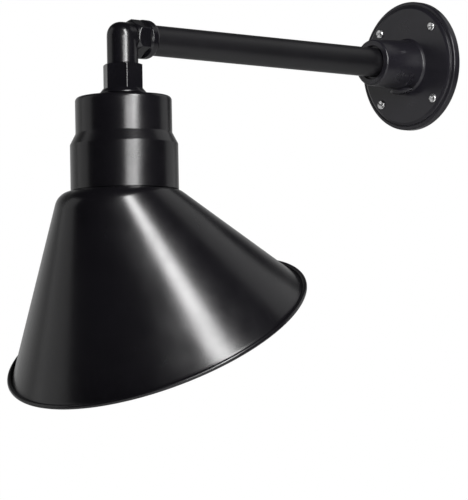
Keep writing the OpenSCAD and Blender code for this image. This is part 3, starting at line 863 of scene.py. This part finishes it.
def bulb():
    """A pear-shaped frosted bulb: a ball, a hollow curve and a short neck."""
    top = box_mm("bulb_glass")[1].z
    neck_r, ball_r, blend = 12.18, 30.0, 34.0
    ball_z = box_mm("bulb_glass")[0].z + ball_r
    join_angle = math.asin((neck_r + blend) / (ball_r + blend))
    blend_z = ball_z + (ball_r + blend) * math.cos(join_angle)
    turn = math.degrees(join_angle)
    outer = [(neck_r, top)] + arc(neck_r + blend, blend_z, blend, 180, 270 - turn, 16) \
        + arc(0, ball_z, ball_r, 90 - turn, -90, 40)[1:]
    inner = [(max(r - 1, 0), z + (1 if r < 1 else 0)) for r, z in reversed(outer)]
    glass = lathe("bulb_glass_blown", outer + inner, AT_HEAD, 96)
    return piece_of(glass, "head", "bulb_frost", FROST, "bulb_glass")


def threaded(name, radius, depth, low, high, wall, pitch, place):
    """A thin screw shell with rolled rounded threads, as rings."""
    turns = int((high - low) / pitch)
    outer = []
    for k in range(turns * 10 + 1):
        z = low + pitch * k / 10
        outer.append((radius - depth * (0.5 - 0.5 * math.cos(2 * PI * k / 10)), z))
    inner = [(r - wall, z) for r, z in reversed(outer)]
    return lathe(name, outer + inner, place, 72)


def lamp_cap():
    """The bulb's screw cap: a rolled thread and its crown."""
    low, high = box_mm("bulb_cap")
    thread_top = high.z - 3.4
    cap = threaded("bulb_cap_rolled", 12.7, 0.9, low.z, thread_top, 0.4, 3.6, AT_HEAD)
    crown = lathe("crown", rounded([
        (11.2, thread_top), (12.2, high.z - 3.2, 0.6), (6.2, high.z - 0.6, 0.5), (5.6, high.z - 0.6),
        (11.0, high.z - 3.6),
    ]), AT_HEAD, 72)
    join(cap, crown)
    return piece_of(cap, "head", "cap_metal", CAP_METAL, "bulb_cap")


def carried_over():
    """CAD nodes whose shape is right keep it and get a material."""
    plain = {
        "arm_set_screw": ZINC, "ground_screw": GREEN_STEEL, "ground_terminal": BRASS, "live_wire": WIRE_BLACK,
        "neutral_wire": WIRE_WHITE, "ground_wire": WIRE_GREEN, "arm_lock_nut": ZINC, "lead_bushings": NYLON,
        "arm_lead": SLEEVE, "gland_seal": RUBBER, "swivel_nipple": ZINC, "lock_nut": ZINC, "elbow_lead": SLEEVE,
        "neck_gasket": RUBBER, "spring_washer": ZINC, "holder_bracket": ZINC, "bracket_screws": ZINC,
        "lampholder_body": PORCELAIN, "holder_screws": ZINC, "screw_shell": BRASS, "centre_contact": BRASS,
        "terminal_screws": BRASS, "live_tail": WIRE_BLACK, "neutral_tail": WIRE_WHITE, "bulb_contact": CAP_GLASS,
        "shade_seal": RUBBER, "shade_screws": ZINC,
    }
    for name, material in plain.items():
        node = NODES[name]
        node.data.materials.clear()
        node.data.materials.append(material)


# ---------------------------------------------------------------- light, floor and camera

CAMERA_AIM = Vector((-0.119, -0.109, -0.1575))
CAMERA_DISTANCE = 3.5956
CAMERA_AZIMUTH = math.radians(46.80)
CAMERA_ELEVATION = math.radians(-4.44)
CAMERA_ROLL = math.radians(-1.07)
FOCAL_LENGTH = 295.0
SENSOR_WIDTH = 36
VIEW_LIMIT = 50
HEAD_CENTRE = Vector((0, -0.342, -0.16))
WALL_CENTRE = Vector((0, 0, 0))
FLOOR_Z = -0.62
FLOOR_R = 1.6
SURROUND_R = 9


def toward(azimuth, elevation):
    """A unit vector by azimuth to the right of the camera's own and elevation above the level, in degrees."""
    a = CAMERA_AZIMUTH + math.radians(azimuth)
    e = math.radians(elevation)
    return Vector((math.sin(a) * math.cos(e), -math.cos(a) * math.cos(e), math.sin(e)))


def camera():
    data = bpy.data.cameras.new("camera")
    data.lens = FOCAL_LENGTH
    data.sensor_width = SENSOR_WIDTH
    data.clip_end = VIEW_LIMIT
    made = new_object("camera", data)
    back = Vector((math.sin(CAMERA_AZIMUTH) * math.cos(CAMERA_ELEVATION),
                   -math.cos(CAMERA_AZIMUTH) * math.cos(CAMERA_ELEVATION), math.sin(CAMERA_ELEVATION)))
    right = Vector((math.cos(CAMERA_AZIMUTH), math.sin(CAMERA_AZIMUTH), 0))
    up = back.cross(right)
    turned = right * math.cos(CAMERA_ROLL) + up * math.sin(CAMERA_ROLL)
    upright = back.cross(turned)
    rotation = Matrix((turned, upright, back)).transposed().to_4x4()
    made.matrix_world = Matrix.Translation(CAMERA_AIM + back * CAMERA_DISTANCE) @ rotation
    bpy.context.scene.camera = made
    bpy.context.scene.view_settings.view_transform = "Standard"


def softbox(name, azimuth, elevation, distance, width, height, radiance, aim=HEAD_CENTRE):
    """A rectangular area light that faces its aim; radiance is what a mirror would show of it."""
    data = bpy.data.lights.new(name, "AREA")
    data.shape = "RECTANGLE"
    data.size = width
    data.size_y = height
    data.energy = radiance * PI * width * height
    made = new_object(name, data)
    direction = toward(azimuth, elevation)
    facing = direction.to_track_quat("Z", "Y").to_matrix().to_4x4()
    made.matrix_world = Matrix.Translation(aim + direction * distance) @ facing


def floor_and_surround():
    """A pale floor, and a white surround that only the camera sees and that gives no light."""
    floor_mesh = bmesh.new()
    bmesh.ops.create_circle(floor_mesh, cap_ends=True, segments=96, radius=FLOOR_R)
    floor = from_bmesh("studio_floor", floor_mesh, Matrix.Translation((0, 0, FLOOR_Z)))
    paper = Nodes("pale floor")
    tone = paper.ramp(paper.noise(3, 3), (0.3, (0.86, 0.86, 0.87)), (0.7, (0.90, 0.90, 0.90)))
    paper.set(Roughness=0.6)
    floor.data.materials.append(paper.wire(Base_Color=tone))

    dome_mesh = bmesh.new()
    bmesh.ops.create_uvsphere(dome_mesh, u_segments=64, v_segments=32, radius=SURROUND_R)
    dome = from_bmesh("studio_surround", dome_mesh, Matrix.Identity(4))
    glow = Nodes("white surround")
    glow.set(Base_Color=(0, 0, 0, 1), Emission_Color=(1, 1, 1, 1), Emission_Strength=1.0, Roughness=1.0)
    dome.data.materials.append(glow.material)
    for kind in ("diffuse", "glossy", "transmission", "shadow", "volume_scatter"):
        setattr(dome, "visible_" + kind, False)


def eased(tree, source, *ends):
    """A value mapped smoothly, by its ends: from low, from high, to low, to high."""
    made = tree.nodes.new("ShaderNodeMapRange")
    made.interpolation_type = "SMOOTHSTEP"
    for key, end in zip(("From Min", "From Max", "To Min", "To Max"), ends):
        made.inputs[key].default_value = end
    tree.links.new(source, made.inputs["Value"])
    return made.outputs["Result"]


def sky():
    """A soft light from behind the object that fades to the sides and upwards."""
    world = bpy.data.worlds.new("soft studio")
    bpy.context.scene.world = world
    world.use_nodes = True
    tree = world.node_tree
    place = tree.nodes.new("ShaderNodeTexCoord").outputs["Generated"]
    behind = tree.nodes.new("ShaderNodeVectorMath")
    behind.operation = "DOT_PRODUCT"
    behind.inputs[1].default_value = -toward(15, 0)
    tree.links.new(place, behind.inputs[0])
    split = tree.nodes.new("ShaderNodeSeparateXYZ")
    tree.links.new(place, split.inputs[0])
    both = tree.nodes.new("ShaderNodeMath")
    both.operation = "MULTIPLY"
    tree.links.new(eased(tree, behind.outputs["Value"], 0.42, 1.0, 0.0, 0.55), both.inputs[0])
    tree.links.new(eased(tree, split.outputs["Z"], 0.15, 0.60, 1.0, 0.20), both.inputs[1])
    background = tree.nodes["Background"]
    background.inputs["Color"].default_value = (1, 1, 1, 1)
    tree.links.new(both.outputs["Value"], background.inputs["Strength"])


def studio():
    """The floor, the surround, the sky and the softboxes."""
    floor_and_surround()
    sky()
    softbox("key_softbox", 29.5, 31, 1.2, 0.27, 0.84, 25)
    softbox("low_softbox", 17.5, 6, 1.8, 0.72, 0.42, 13.5)
    softbox("right_panel", 120, 22, 2.4, 1.7, 2.4, 0.55)
    softbox("left_panel", -93, 8, 2.6, 1.5, 3.0, 0.58, WALL_CENTRE)


# ---------------------------------------------------------------- the object

camera()
wall_cover()
cover_screws()
cover_gasket()
twist_connectors()
arm_tube()
elbow()
gland_cap()
swivel_nut()
swivel_flange()
neck_housing()
shade()
bulb()
lamp_cap()
carried_over()
studio()
